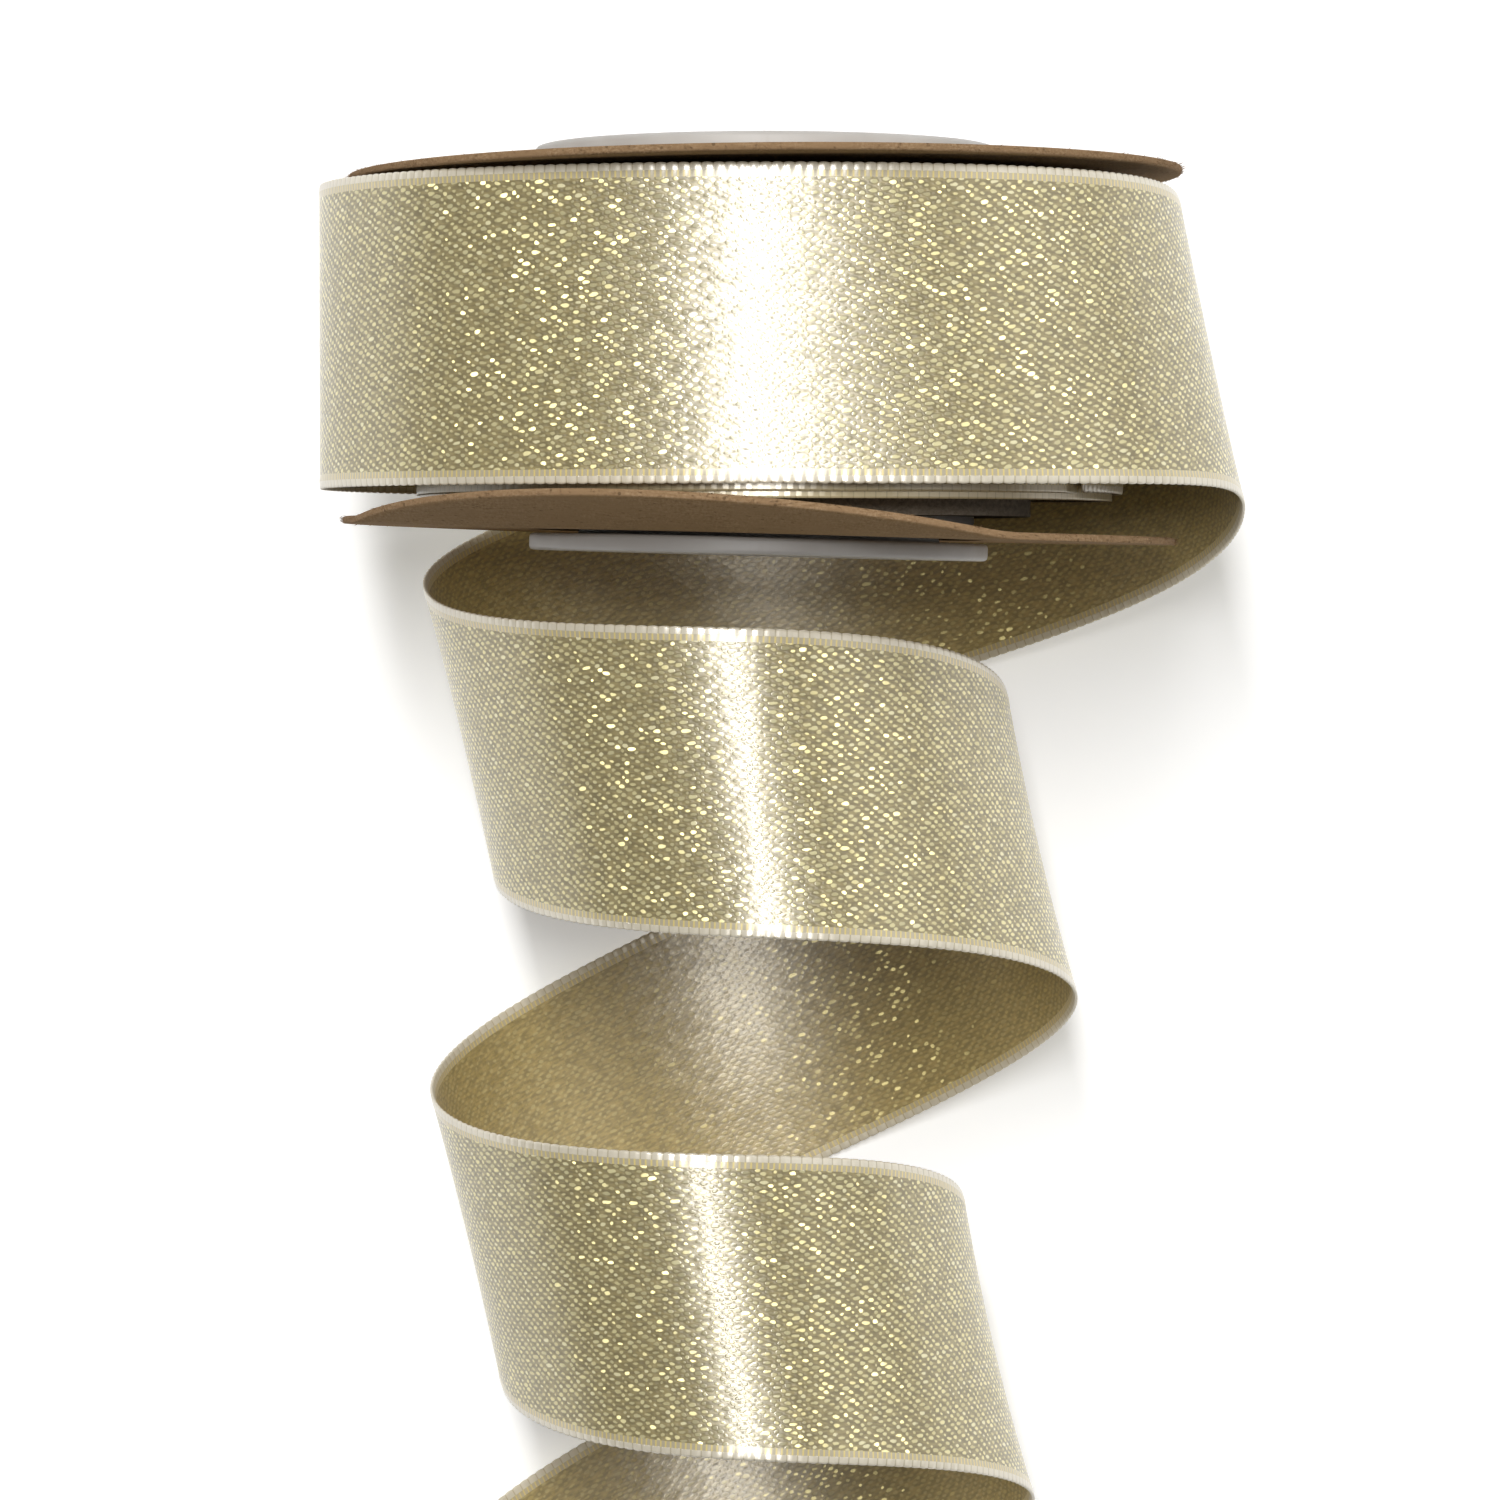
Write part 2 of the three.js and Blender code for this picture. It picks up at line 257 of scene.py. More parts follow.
# %% The flat sheet with its thickness and flat coordinates
def flat_strip(length, segments):
    sheet = bmesh.new()
    spans = len(WIDTH_LINES) - 1
    bmesh.ops.create_grid(sheet, x_segments=segments, y_segments=spans, size=0.5)
    for v in sheet.verts:
        line = WIDTH_LINES[round((v.co.y + 0.5) * spans)]
        v.co = ((v.co.x + 0.5) * length, line * MM, 0)
    bmesh.ops.solidify(sheet, geom=sheet.faces[:], thickness=RIBBON_THICKNESS * MM)
    middle = (min(v.co.z for v in sheet.verts) + max(v.co.z for v in sheet.verts)) / 2
    bmesh.ops.translate(sheet, verts=sheet.verts, vec=(0, 0, -middle))
    bmesh.ops.recalc_face_normals(sheet, faces=sheet.faces)
    flat = sheet.loops.layers.uv.new("flat")
    for face in sheet.faces:
        face.material_index = 0 if face.normal.z > 0.5 else 1 if face.normal.z < -0.5 else 2
        face.smooth = True
        for loop in face.loops:
            loop[flat].uv = loop.vert.co.xy
    return sheet


# %% The loops along both woven edges
def loop_swell(length):
    return abs(math.sin(math.pi * length / (LOOP_PITCH * MM))) ** LOOP_ROUNDNESS


def bent_strip(name, place, start, end, spacing, loops):
    angles, lengths = measured_route(place, start, end)
    total = lengths[-1]
    sheet = flat_strip(total, round(total / spacing))
    frames = {}
    for v in sheet.verts:
        along, y, z = v.co
        key = round(along / spacing * FRAMES_A_STEP)
        if key not in frames:
            frames[key] = place(angle_at(along, angles, lengths))
        centre, across, out = frames[key]
        if loops and abs(y) > RIM_START * MM:
            swell = loop_swell(along)
            rim = (abs(y) - RIM_START * MM) / (RIM_WIDTH * MM)
            z *= 1 + LOOP_SWELL * swell - RIM_THINNING * rim * rim
            y -= math.copysign(LOOP_INSET * MM * (1 - swell) * rim, y)
        v.co = centre - across * y + out * z
    return finished(name, sheet), total


# %% Hand a bmesh over as a new object in the scene
def finished(name, shape):
    mesh = bpy.data.meshes.new(name)
    shape.to_mesh(mesh)
    shape.free()
    made = bpy.data.objects.new(name, mesh)
    bpy.context.scene.collection.objects.link(made)
    print(name, len(mesh.vertices), "points,", len(mesh.polygons), "faces")
    return made


loose_ribbon, loose_length = bent_strip(
    "ribbon_loose_length", loose_frame, WRAP_START, RIBBON_END, LOOP_PITCH * MM / LOOP_STEPS, True
)
wound_ribbon, wound_length = bent_strip(
    "ribbon_wound_turns", wound_frame, PACK_START, PACK_END, WOUND_SPACING * MM, False
)
print("loose ribbon, m:", round(loose_length, 3), "wound ribbon, m:", round(wound_length, 3))

# %% The ribbon takes the place of its rigid stand-ins
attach(loose_ribbon, "ribbon_tail")
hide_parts("ribbon_outer_wrap", "ribbon_crossover", "ribbon_coil_1", "ribbon_coil_2")
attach(wound_ribbon, "spool")
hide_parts("ribbon_pack")

# %% [markdown]
# The two discs are die-cut from kraft card 0.6 mm thick. A disc is a thin ring, so a few points of its section
# are spun round the axis. The knife leaves one rounded edge and one sharp edge, and the section has both.

# %% Spin a section round the spool's axis
def spun(section, steps):
    shape = bmesh.new()
    points = [shape.verts.new((r, y, 0)) for r, y in section]
    ring = [shape.edges.new(pair) for pair in zip(points, points[1:] + points[:1])]
    bmesh.ops.spin(
        shape, geom=points + ring, cent=(0, 0, 0), axis=(0, 1, 0), angle=2 * math.pi, steps=steps, use_merge=True
    )
    bmesh.ops.remove_doubles(shape, verts=shape.verts, dist=1e-4)
    bmesh.ops.recalc_face_normals(shape, faces=shape.faces)
    return shape


def onto_spool(shape, pivot_y=0, tilt=0, shift=0):
    turn = Matrix.Rotation(tilt, 4, "Z")
    for v in shape.verts:
        turned = turn @ (v.co - Vector((0, pivot_y, 0))) + Vector((shift, pivot_y, 0))
        v.co = from_axis(*turned)
    return shape


# %% Sizes of the card discs
CARD_THICKNESS, CARD_RADIUS, CARD_HOLE, CARD_STEPS = 0.6, 34.4, 17.6, 180
CARD_WARP, CUT_EDGE_BAND = 0.06, 0.2
TOP_CARD_LOW = 32.75
LOW_CARD_LOW = 3.4
TOP_TILT, LOWER_TILT, LOWER_SHIFT = math.radians(0.6), math.radians(-1.5), -0.3
LOWER_PIVOT = LOW_CARD_LOW + CARD_THICKNESS + 8
FOLD_TOWARDS = math.radians(-19)
FOLD_START, FOLD_END, FOLD_SLOPE = 19, 22, 0.182


def card_section(low, sharp_side_up):
    high = low + CARD_THICKNESS
    sharp, soft = (high, low) if sharp_side_up else (low, high)
    inward = math.copysign(1, soft - sharp)
    rings = [CARD_HOLE + 0.1, 18.4, 19.2, 20, 20.8, 21.6, 22.4, 24, 26, 28, 30, 32, 33.4]
    rim = [
        (CARD_RADIUS - 0.25, soft),
        (CARD_RADIUS - 0.07, soft - 0.06 * inward),
        (CARD_RADIUS - 0.01, soft - 0.2 * inward),
        (CARD_RADIUS, sharp + 0.12 * inward),
        (CARD_RADIUS - 0.03, sharp),
    ]
    hole = [(CARD_HOLE, sharp + 0.1 * inward), (CARD_HOLE, soft - 0.1 * inward)]
    return [(r, soft) for r in rings] + rim + [(r, sharp) for r in reversed(rings)] + hole


# %% [markdown]
# The lower disc is not flat any more: it was bent up along a crease that just touches the hub's rim. Its points
# are lifted by their distance past the crease, with a short curve where the card bends.

# %% Make the two discs
def fold_lift(distance):
    past = max(0, distance - FOLD_START)
    crease = FOLD_END - FOLD_START
    if past < crease:
        return FOLD_SLOPE * past * past / (2 * crease)
    return FOLD_SLOPE * (past - crease / 2)


def warp(shape, amount, phase):
    for v in shape.verts:
        reach = (math.hypot(v.co.x, v.co.z) - CARD_HOLE) / (CARD_RADIUS - CARD_HOLE)
        v.co.y += amount * reach * reach * math.sin(2 * math.atan2(v.co.x, v.co.z) + phase)


def card_disc(name, low, sharp_side_up, folded, tilt, pivot, shift):
    shape = spun(card_section(low, sharp_side_up), CARD_STEPS)
    for face in shape.faces:
        middle = face.calc_center_median()
        face.smooth = True
        face.material_index = int(math.hypot(middle.x, middle.z) > CARD_RADIUS - CUT_EDGE_BAND)
    warp(shape, CARD_WARP, 0.7 + low)
    if folded:
        for v in shape.verts:
            v.co.y += fold_lift(v.co.x * math.sin(FOLD_TOWARDS) + v.co.z * math.cos(FOLD_TOWARDS))
    return finished(name, onto_spool(shape, pivot, tilt, shift))


top_card = card_disc("card_disc_upper", TOP_CARD_LOW, True, False, TOP_TILT, TOP_CARD_LOW, 0)
low_card = card_disc("card_disc_lower", LOW_CARD_LOW, False, True, LOWER_TILT, LOWER_PIVOT, LOWER_SHIFT)
for card, node in ((top_card, "top_flange"), (low_card, "bottom_flange")):
    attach(card, "spool")
    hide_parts(node)

# %% [markdown]
# The cut edge of kraft card is fuzzy, because the knife tears the long fibres. Each fibre is a tiny three-sided
# cone that stands out of the edge at its own slant. A seeded random source gives the same fuzz every time.

# %% Fibres on the cut edges
FIBRE_COUNT, FIBRE_ROOT = 900, 0.06
FIBRE_FOOT_RADIUS, FIBRE_TIP_RADIUS = 0.028, 0.008


def edge_fibres(name, low, folded, tilt, pivot, shift, seed):
    chance = random.Random(seed)
    shape = bmesh.new()
    for _ in range(FIBRE_COUNT):
        angle = chance.uniform(0, 2 * math.pi)
        y = low + CARD_THICKNESS * chance.uniform(0.05, 0.95)
        if folded:
            y += fold_lift(CARD_RADIUS * math.cos(angle - FOLD_TOWARDS))
        length = chance.uniform(0.15, 0.75) * chance.uniform(0.4, 1)
        out = Vector((math.sin(angle), chance.uniform(-0.6, 0.6), math.cos(angle)))
        out += Vector((math.cos(angle), 0, -math.sin(angle))) * chance.uniform(-1.2, 1.2)
        out.normalize()
        root = CARD_RADIUS - FIBRE_ROOT
        foot = Vector((math.sin(angle) * root, y, math.cos(angle) * root))
        place = Matrix.Translation(foot + out * length / 2) @ out.to_track_quat("Z", "Y").to_matrix().to_4x4()
        bmesh.ops.create_cone(
            shape, cap_ends=True, segments=3, radius1=FIBRE_FOOT_RADIUS, radius2=FIBRE_TIP_RADIUS,
            depth=length, matrix=place,
        )
    return finished(name, onto_spool(shape, pivot, tilt, shift))


fuzz = [
    edge_fibres("card_fibres_upper", TOP_CARD_LOW, False, TOP_TILT, TOP_CARD_LOW, 0, 3),
    edge_fibres("card_fibres_lower", LOW_CARD_LOW, True, LOWER_TILT, LOWER_PIVOT, LOWER_SHIFT, 5),
]
for piece in fuzz:
    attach(piece, "spool")

# %% [markdown]
# The hub is moulded in two halves that clamp the discs. Each half is a rim with a barrel behind it, and one
# barrel slides into the other. A moulded part has no sharp corner, so the corners of the section are rounded by
# a bevel after it is spun.

# %% Sizes of the hub halves
RIM_RADIUS, HUB_STEPS = 19, 128
SOCKET_ROUNDING, PLUG_ROUNDING = 0.4, 0.35
SOCKET = dict(rim_low=TOP_CARD_LOW + CARD_THICKNESS + 0.3, rim=1.8, outer=17.3, inner=15.9, far=4.0)
PLUG = dict(rim_high=LOW_CARD_LOW - 0.3, rim=1.4, outer=14.9, inner=13.8, depth=12)


def socket_section():
    top = SOCKET["rim_low"] + SOCKET["rim"]
    return [
        (SOCKET["inner"], SOCKET["far"]),
        (SOCKET["outer"], SOCKET["far"]),
        (SOCKET["outer"], SOCKET["rim_low"]),
        (RIM_RADIUS, SOCKET["rim_low"]),
        (RIM_RADIUS, top),
        (SOCKET["inner"], top),
    ]


def plug_section():
    bottom = PLUG["rim_high"] - PLUG["rim"]
    return [
        (PLUG["inner"], bottom),
        (RIM_RADIUS, bottom),
        (RIM_RADIUS, PLUG["rim_high"]),
        (PLUG["outer"], PLUG["rim_high"]),
        (PLUG["outer"], bottom + PLUG["depth"]),
        (PLUG["inner"], bottom + PLUG["depth"]),
    ]


# %% Spin and round the hub halves
def rounded(shape, radius, segments=3):
    corners = [e for e in shape.edges if len(e.link_faces) == 2 and e.calc_face_angle() > 1]
    bmesh.ops.bevel(
        shape, geom=corners, offset=radius, segments=segments, affect="EDGES", profile=0.5, material=-1
    )
    for face in shape.faces:
        face.smooth = True
    return shape


socket_half = finished("hub_half_upper", onto_spool(rounded(spun(socket_section(), HUB_STEPS), SOCKET_ROUNDING)))
plug_shape = rounded(spun(plug_section(), HUB_STEPS), PLUG_ROUNDING)
plug_half = finished("hub_half_lower", onto_spool(plug_shape, LOWER_PIVOT, LOWER_TILT, LOWER_SHIFT))
for half, node in ((socket_half, "hub_socket_half"), (plug_half, "hub_plug_half")):
    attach(half, "spool")
    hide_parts(node)

# %% [markdown]
# Shader maths reads best as ordinary sums. This small class wraps one socket of a material, so that `1 - mask`
# or `u * 40` adds the Math nodes by itself. Every other node is made by one method, which sets the node's
# settings first and then its sockets.

# %% A socket that can be used in a sum
class Wire:
    def __init__(self, tree, socket=None):
        self.tree = tree
        self.socket = socket

    def node(self, kind, settings=None, values=None, output=0):
        made = self.tree.nodes.new("ShaderNode" + kind)
        for name, setting in (settings or {}).items():
            if name == "stops":
                ramp = made.color_ramp.elements
                while len(ramp) < len(setting):
                    ramp.new(0.5)
                for element, (position, colour) in zip(ramp, setting):
                    element.position = position
                    element.color = (*colour, 1)
            else:
                setattr(made, name, setting)
        for name, value in (values or {}).items():
            if isinstance(value, Wire):
                self.tree.links.new(value.socket, made.inputs[name])
            elif made.inputs[name].type == "RGBA":
                made.inputs[name].default_value = (*value, 1)
            else:
                made.inputs[name].default_value = value
        return Wire(self.tree, made.outputs[output] if made.outputs else None)

    def sum_of(self, operation, *values):
        return self.node("Math", {"operation": operation}, dict(enumerate(values)))

    def __add__(self, other):
        return self.sum_of("ADD", self, other)

    __radd__ = __add__

    def __sub__(self, other):
        return self.sum_of("SUBTRACT", self, other)

    def __rsub__(self, other):
        return self.sum_of("SUBTRACT", other, self)

    def __mul__(self, other):
        return self.sum_of("MULTIPLY", self, other)

    __rmul__ = __mul__

    def __truediv__(self, other):
        return self.sum_of("DIVIDE", self, other)

    def __pow__(self, other):
        return self.sum_of("POWER", self, other)

    def __abs__(self):
        return self.sum_of("ABSOLUTE", self)

    def __gt__(self, other):
        return self.sum_of("GREATER_THAN", self, other)

    def __lt__(self, other):
        return self.sum_of("LESS_THAN", self, other)

    def whole(self):
        return self.sum_of("FLOOR", self)

    def part(self):
        return self.sum_of("FRACT", self)

    def between(self, low, high):
        return self.node("MapRange", {"interpolation_type": "SMOOTHSTEP"}, {0: self, 1: low, 2: high})

    def blend(self, a, b):
        return self.node("Mix", {"data_type": "RGBA"}, {0: self, 6: a, 7: b}, output=2)

    def vector(self, x=0.0, y=0.0, z=0.0):
        return self.node("CombineXYZ", values={0: x, 1: y, 2: z})

    def parts(self):
        split = self.node("SeparateXYZ", values={0: self})
        outputs = split.socket.node.outputs
        return [Wire(self.tree, outputs[i]) for i in range(3)]


# %% Start a material and finish it
def new_finish(name):
    material = bpy.data.materials.new(name)
    material.use_nodes = True
    material.node_tree.nodes.clear()
    return material, Wire(material.node_tree)


def coated(wire, **sockets):
    return wire.node("BsdfPrincipled", values={name.replace("_", " "): value for name, value in sockets.items()})


def shaded(wire, **sockets):
    wire.node("OutputMaterial", values={"Surface": coated(wire, **sockets)})


def mixed(colour, other, share):
    return tuple(mix(a, b, share) for a, b in zip(colour, other))


def bump(wire, height, distance, strength=1.0, normal=None):
    values = {"Height": height, "Distance": distance, "Strength": strength}
    if normal is not None:
        values["Normal"] = normal
    return wire.node("Bump", values=values)


# %% [markdown]
# The ribbon is an eight-shaft satin with a metal thread. Its fine warp threads lie flat along the ribbon and shine
# as one smooth face. Each thread dips under every eighth pick, and there a little of the metal thread shows. These
# dots stand on a slanted lattice, so a dot's place in the lattice is worked out from the flat coordinates with
# two slanted counts. A slow noise shifts the counts a little, because no loom holds its threads perfectly even.

# %% The lattice of the weave, in millimetres
STEP_A = (0.477, -0.268)
STEP_B = (-0.452, -0.452)
CELL = STEP_A[0] * STEP_B[1] - STEP_A[1] * STEP_B[0]
DOT_LENGTH, DOT_WIDTH = 0.24, 0.15
UNEVENNESS = 0.9
LOOP_BAND = 0.62 * MM
PICOT_BAND = 1.15 * MM


def weave_layout(wire):
    flat = wire.node("UVMap", {"uv_map": "flat"})
    u, v, _ = flat.parts()
    drift = wire.node("TexNoise", {"noise_dimensions": "2D"}, {"Vector": flat, "Scale": 900.0, "Detail": 2.0}) - 0.5
    count_a = (u * STEP_B[1] - v * STEP_B[0]) / (CELL * MM) + UNEVENNESS * drift
    count_b = (v * STEP_A[0] - u * STEP_A[1]) / (CELL * MM) - UNEVENNESS * drift
    cell = wire.vector(count_a.whole(), count_b.whole())
    chance = wire.node("TexWhiteNoise", {"noise_dimensions": "2D"}, {"Vector": cell}, output=1)
    share = wire.node("TexWhiteNoise", {"noise_dimensions": "2D"}, {"Vector": cell})
    a = count_a.part() - 0.5
    b = count_b.part() - 0.5
    x = (a * STEP_A[0] + b * STEP_B[0]) / DOT_LENGTH
    y = (a * STEP_A[1] + b * STEP_B[1]) / DOT_WIDTH
    from_dot = (x * x + y * y) ** 0.5
    return u, v, chance, share, from_dot


# %% [markdown]
# Foil glitters because each dot lies at its own tilt. The metal thread runs across the ribbon and rolls where it
# dips, so a dot leans a lot along the ribbon and only a little across it. A random colour for each dot, read as a
# normal map, gives that lean.

# %% A dot's own tilt
def tilted(wire, chance, roll, pitch):
    x, y, _ = chance.parts()
    lean_x = (x - 0.5) * roll + 0.5
    lean_y = (y - 0.5) * pitch + 0.5
    colour = wire.node("CombineColor", values={0: lean_x, 1: lean_y, 2: 1.0})
    return wire.node("NormalMap", {"uv_map": "flat"}, {"Strength": 1.0, "Color": colour})


# %% [markdown]
# The cloth and the foil are two shaders. The cloth covers everything with a smooth satin gloss, and the foil is
# mixed in at some of the dots only, so the bright line stays white while the dots beside it flash gold. The woven
# edge is pale: a row of small round loops on the very edge, and inside it a row of fine gold picks. Both are drawn
# from the distance to the edge and the distance along it.

# %% Satin finish for the face, the back and the edge
PICK_GOLD = (0.82, 0.66, 0.24)
THREAD_RELIEF = 0.02 * MM
FOIL_ROUGHNESS, FOIL_COVER = 0.4, 0.36


def dimmed(colour, factor):
    return tuple(factor * c for c in colour)


def satin(name, ground, pale, gold, foil_share, ground_rough, roll, edge, dots=1.0, ior=2.2):
    material, wire = new_finish(name)
    u, v, chance, share, from_dot = weave_layout(wire)
    from_edge = RIBBON_WIDTH / 2 * MM - abs(v)
    in_loops = from_edge < LOOP_BAND
    in_body = from_edge > PICOT_BAND
    in_picots = 1 - in_loops - in_body
    beat = abs((u / (LOOP_PITCH * MM)).part() - 0.5)
    beat_half = abs((u / (LOOP_PITCH * MM / 2)).part() - 0.5)
    fullness = chance.parts()[2]
    dot = (from_dot + 0.5 * fullness).between(1.45, 0.8) * in_body
    shade = wire.node(
        "TexNoise", {"noise_dimensions": "2D"}, {"Vector": wire.vector(u, v * 4), "Scale": 900.0, "Detail": 2.0}
    )
    warp_shade = shade.between(0.3, 0.75).blend(dimmed(ground, 0.75), dimmed(ground, 1.2))
    dot_shade = share.between(0.05, 0.85).blend(mixed(ground, pale, 0.4), mixed(pale, gold, 0.35))
    threads = (dot * dots).blend(warp_shade, dot_shade)
    loops = beat.between(0.4, 0.5).blend(edge, mixed(edge, ground, 0.6))
    picks = beat_half.between(0.26, 0.42).blend(mixed(edge, ground, 0.5), PICK_GOLD)
    colour = in_picots.blend(in_loops.blend(threads, loops), picks)
    height = dot * dots + (1 - beat * 2) * 1.2 * in_loops
    rough = ground_rough + from_dot.between(1.5, 2.0) * in_body * 0.25 * dots
    thread_normal = bump(wire, height, THREAD_RELIEF, 0.6, tilted(wire, chance, 0.025 * in_body, 0.02 * in_body))
    cloth = coated(
        wire, Base_Color=colour, Roughness=rough, Metallic=0.12, Normal=thread_normal, IOR=ior,
        Sheen_Weight=0.2 * dots, Sheen_Roughness=0.35,
    )
    foil_normal = tilted(wire, chance, roll, 0.3 * roll)
    foil = coated(wire, Base_Color=gold, Roughness=FOIL_ROUGHNESS, Metallic=1.0, Normal=foil_normal)
    shows_foil = dot * (share < foil_share) * FOIL_COVER * dots
    both = wire.node("MixShader", values={0: shows_foil, 1: cloth, 2: foil})
    wire.node("OutputMaterial", values={"Surface": both})
    return material


# %% Dress the ribbon
GROUND_THREAD = (0.335, 0.27, 0.12)
PALE_THREAD = (0.87, 0.82, 0.56)
GOLD_FOIL = (1.0, 0.88, 0.4)
EDGE_THREAD = (0.78, 0.71, 0.56)
# The wound turns get a darker, warmer copy of the edge colour. This is painted shade and painted gold bounce light
# for the edges sunk between the tight turns under the disc.
WOUND_EDGE_PAINTED_SHADE = (0.62, 0.52, 0.31)
# The back is the duller side of the satin. Its colours are also darker and a more saturated brown, as painted shade
# and painted gold bounce light, because the back shows only on the shaded insides of the coils.
BACK_THREAD_WITH_PAINTED_SHADE, BACK_DOT_WITH_PAINTED_SHADE = (0.44, 0.33, 0.12), (0.56, 0.46, 0.2)
face_satin = satin("satin_face", GROUND_THREAD, PALE_THREAD, GOLD_FOIL, 0.9, 0.28, 0.85, EDGE_THREAD)
back_satin = satin("satin_back", BACK_THREAD_WITH_PAINTED_SHADE, BACK_DOT_WITH_PAINTED_SHADE, GOLD_FOIL, 0.5, 0.38, 0.5, EDGE_THREAD, 0.5, 2.3)
edge_satin = satin("satin_edge", EDGE_THREAD, EDGE_THREAD, GOLD_FOIL, 0.1, 0.5, 0.3, EDGE_THREAD, 0.3)
# The wound turns take the edge colour with painted shade.
wound_face = satin("satin_face_wound", GROUND_THREAD, PALE_THREAD, GOLD_FOIL, 0.9, 0.28, 0.85, WOUND_EDGE_PAINTED_SHADE)
wound_edge = satin("satin_edge_wound", WOUND_EDGE_PAINTED_SHADE, WOUND_EDGE_PAINTED_SHADE, GOLD_FOIL, 0.1, 0.5, 0.3, WOUND_EDGE_PAINTED_SHADE, 0.3)
for finish in (face_satin, back_satin, edge_satin):
    loose_ribbon.data.materials.append(finish)
for finish in (wound_face, back_satin, wound_edge):
    wound_ribbon.data.materials.append(finish)

# %% [markdown]
# Kraft card is unbleached pulp: mid brown, matt, with long fibres lying every way, some paler and some darker,
# and a few dark specks of bark. Two noises, one drawn out along X and one along Z, give crossing fibres.

# %% Kraft card and its cut edge
def fibre_noise(wire, place, stretch, scale, detail=4.0):
    drawn = wire.node("Mapping", values={"Vector": place, "Scale": stretch})
    return wire.node("TexNoise", values={"Vector": drawn, "Scale": scale, "Detail": detail, "Roughness": 0.65})


def kraft(name, dark, mid, light, rough):
    material, wire = new_finish(name)
    place = wire.node("TexCoord", output=3)
    along = fibre_noise(wire, place, (0.12, 1.0, 1.0), 5200.0)
    upward = fibre_noise(wire, place, (1.0, 1.0, 0.12), 4700.0)
    cloud = fibre_noise(wire, place, (1.0, 1.0, 1.0), 190.0)
    grain = (along + upward) / 2
    colour = wire.node("ValToRGB", {"stops": [(0.32, dark), (0.5, mid), (0.68, light)]}, {0: grain})
    colour = cloud.between(0.3, 0.75).blend(colour, mid)
    specks = wire.node("TexVoronoi", values={"Vector": place, "Scale": 900.0})
    is_speck = specks.between(0.16, 0.1)
    colour = (is_speck * 0.6).blend(colour, dimmed(dark, 0.5))
    normal = bump(wire, grain + cloud * 0.4, 0.06 * MM, 0.8)
    shaded(
        wire, Base_Color=colour, Roughness=rough + (grain - 0.5) * 0.2, Normal=normal, Specular_IOR_Level=0.12
    )
    return material


card_face = kraft("kraft_face", (0.14, 0.083, 0.034), (0.27, 0.17, 0.08), (0.42, 0.28, 0.15), 0.9)
card_cut = kraft("kraft_cut_edge", (0.17, 0.1, 0.047), (0.3, 0.19, 0.1), (0.46, 0.32, 0.19), 0.95)
for card in (top_card, low_card):
    card.data.materials.append(card_face)
    card.data.materials.append(card_cut)
for piece in fuzz:
    piece.data.materials.append(card_cut)

# %% [markdown]
# The hub is cheap white polystyrene: a little warm, with a soft gloss. Handling dulls the gloss in patches, and
# the mould leaves a very fine orange-peel on it.

# %% White plastic
def moulded_white():
    material, wire = new_finish("moulded_white_plastic")
    place = wire.node("TexCoord", output=3)
    cloud = wire.node("TexNoise", values={"Vector": place, "Scale": 160.0, "Detail": 3.0})
    peel = wire.node("TexNoise", values={"Vector": place, "Scale": 2600.0, "Detail": 2.0})
    scuffs = fibre_noise(wire, place, (1.0, 0.05, 1.0), 2400.0, 2.0)
    colour = cloud.between(0.3, 0.7).blend((0.47, 0.445, 0.415), (0.54, 0.52, 0.49))
    rough = 0.42 + cloud * 0.14 + scuffs.between(0.55, 0.75) * 0.15
    normal = bump(wire, peel, 0.02 * MM, 0.35)
    shaded(wire, Base_Color=colour, Roughness=rough, Normal=normal)
    return material


plastic = moulded_white()
for half in (socket_half, plug_half):
    half.data.materials.append(plastic)

# %% [markdown]
# Inside sit a grey board tube and a strip of paper tape that holds the ribbon's first end. Nobody sees them
# until the ribbon is used up, so they keep the rigid model's shape. The board tube is wound from strips on a
# slant, which shows as a faint spiral seam.

# %% Grey board and paper tape
def wound_board():
    material, wire = new_finish("wound_grey_board")
    place = wire.node("TexCoord", output=3)
    x, y, z = place.parts()
    turn = wire.sum_of("ARCTAN2", x - AXIS_X, z - AXIS_HEIGHT) / (2 * math.pi)
    seam = abs((y / (12 * MM) + turn).part() - 0.5)
    grain = fibre_noise(wire, place, (1.0, 1.0, 0.2), 3200.0)
    colour = wire.node(
        "ValToRGB", {"stops": [(0.3, (0.17, 0.14, 0.105)), (0.7, (0.34, 0.29, 0.22))]}, {0: grain}
    )
    colour = seam.between(0.47, 0.5).blend(colour, (0.1, 0.08, 0.06))
    normal = bump(wire, grain - seam.between(0.46, 0.5), 0.1 * MM, 0.7)
    shaded(wire, Base_Color=colour, Roughness=0.92, Normal=normal)
    return material


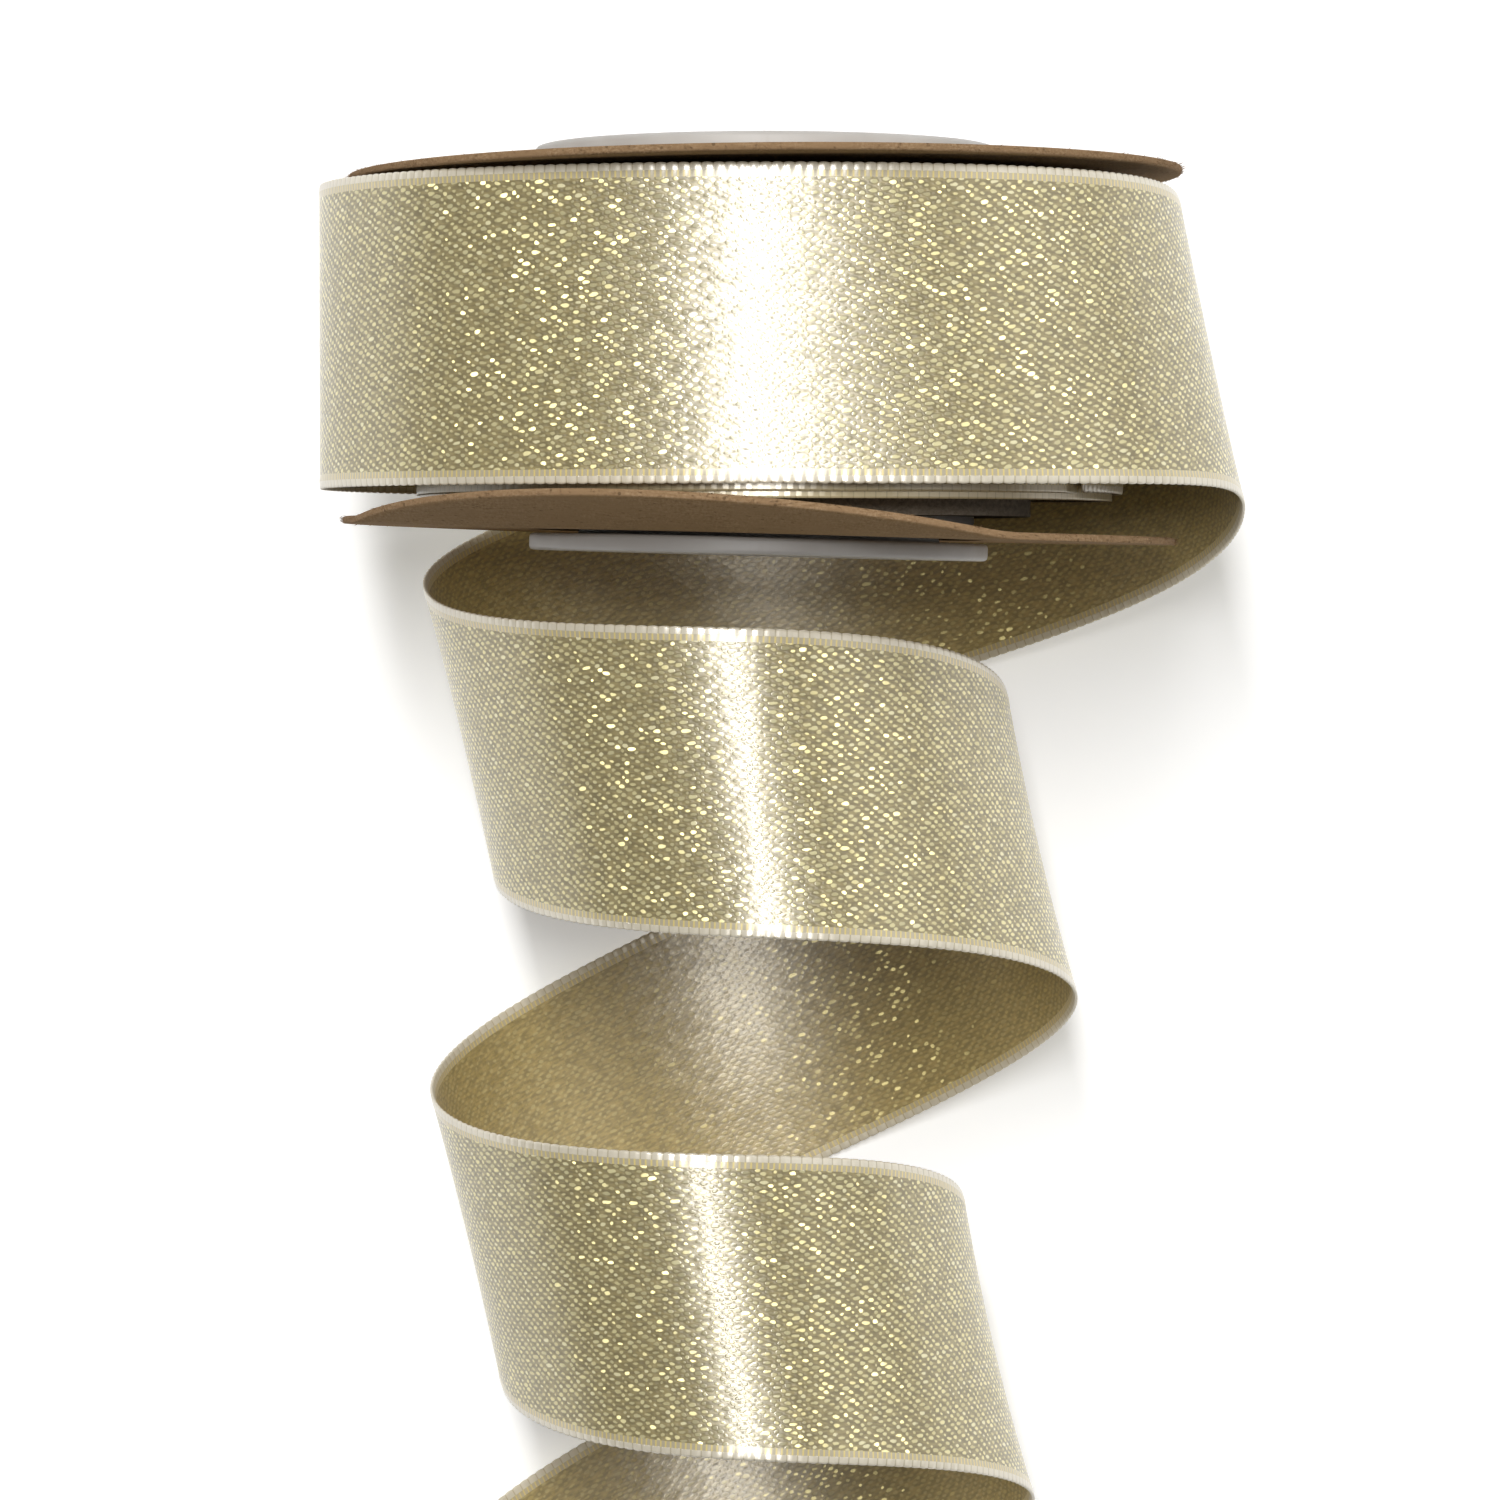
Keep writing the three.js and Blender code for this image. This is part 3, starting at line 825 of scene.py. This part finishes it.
def paper_tape():
    material, wire = new_finish("paper_tape")
    place = wire.node("TexCoord", output=3)
    crepe = fibre_noise(wire, place, (1.0, 0.15, 1.0), 2600.0)
    colour = crepe.between(0.3, 0.7).blend((0.6, 0.52, 0.36), (0.76, 0.7, 0.54))
    shaded(wire, Base_Color=colour, Roughness=0.6 + crepe * 0.2, Normal=bump(wire, crepe, 0.05 * MM, 0.8))
    return material


for node, finish in (("core_tube", wound_board()), ("starter_tape", paper_tape())):
    frame["nodes"][node].data.materials.clear()
    frame["nodes"][node].data.materials.append(finish)

# %% [markdown]
# The spool lies on a plain white table. A long narrow soft box stands above it and behind it. It draws the bright
# line on the wound ribbon and leaves the insides of the coils in the shade of the turns behind them. A second one
# carries the bright line on over the loose coils: it gives gloss only, so it doesn't fill that shade. A large one
# from the right and a dim even sky keep the dark parts open.

# %% Table and light
def plain_table():
    shape = bmesh.new()
    bmesh.ops.create_grid(shape, x_segments=1, y_segments=1, size=2.5)
    bmesh.ops.translate(shape, verts=shape.verts, vec=(0, 0, -0.0001))
    table = finished("table", shape)
    material, wire = new_finish("table_white")
    shaded(wire, Base_Color=(0.9, 0.9, 0.9), Roughness=0.7, Emission_Color=(1, 1, 1), Emission_Strength=0.3)
    table.data.materials.append(material)


def soft_box(name, place, aim, size, power):
    data = bpy.data.lights.new(name, "AREA")
    data.shape = "RECTANGLE"
    data.size, data.size_y = size
    data.energy = power
    lamp = bpy.data.objects.new(name, data)
    lamp.location = place
    lamp.rotation_euler = (Vector(aim) - Vector(place)).to_track_quat("-Z", "Y").to_euler()
    bpy.context.scene.collection.objects.link(lamp)
    return lamp


OBJECT_MIDDLE, TABLE_MIDDLE = (-0.005, 0, 0), (0, 0, 0)

plain_table()
soft_box("soft_box_above", (-0.075, 0.33, 1.0), OBJECT_MIDDLE, (0.11, 0.5), 9)
soft_box("soft_box_right", (1.3, 0.6, 0.8), TABLE_MIDDLE, (1.4, 1.4), 5)
gloss = soft_box("soft_box_gloss", (-0.06, -0.14, 1.0), OBJECT_MIDDLE, (0.09, 0.42), 3)
gloss.visible_diffuse = False
world = bpy.data.worlds.new("even_sky")
world.use_nodes = True
world.node_tree.nodes["Background"].inputs["Color"].default_value = (1, 1, 1, 1)
world.node_tree.nodes["Background"].inputs["Strength"].default_value = 0.12
bpy.context.scene.world = world
bpy.context.scene.view_settings.view_transform = "Standard"
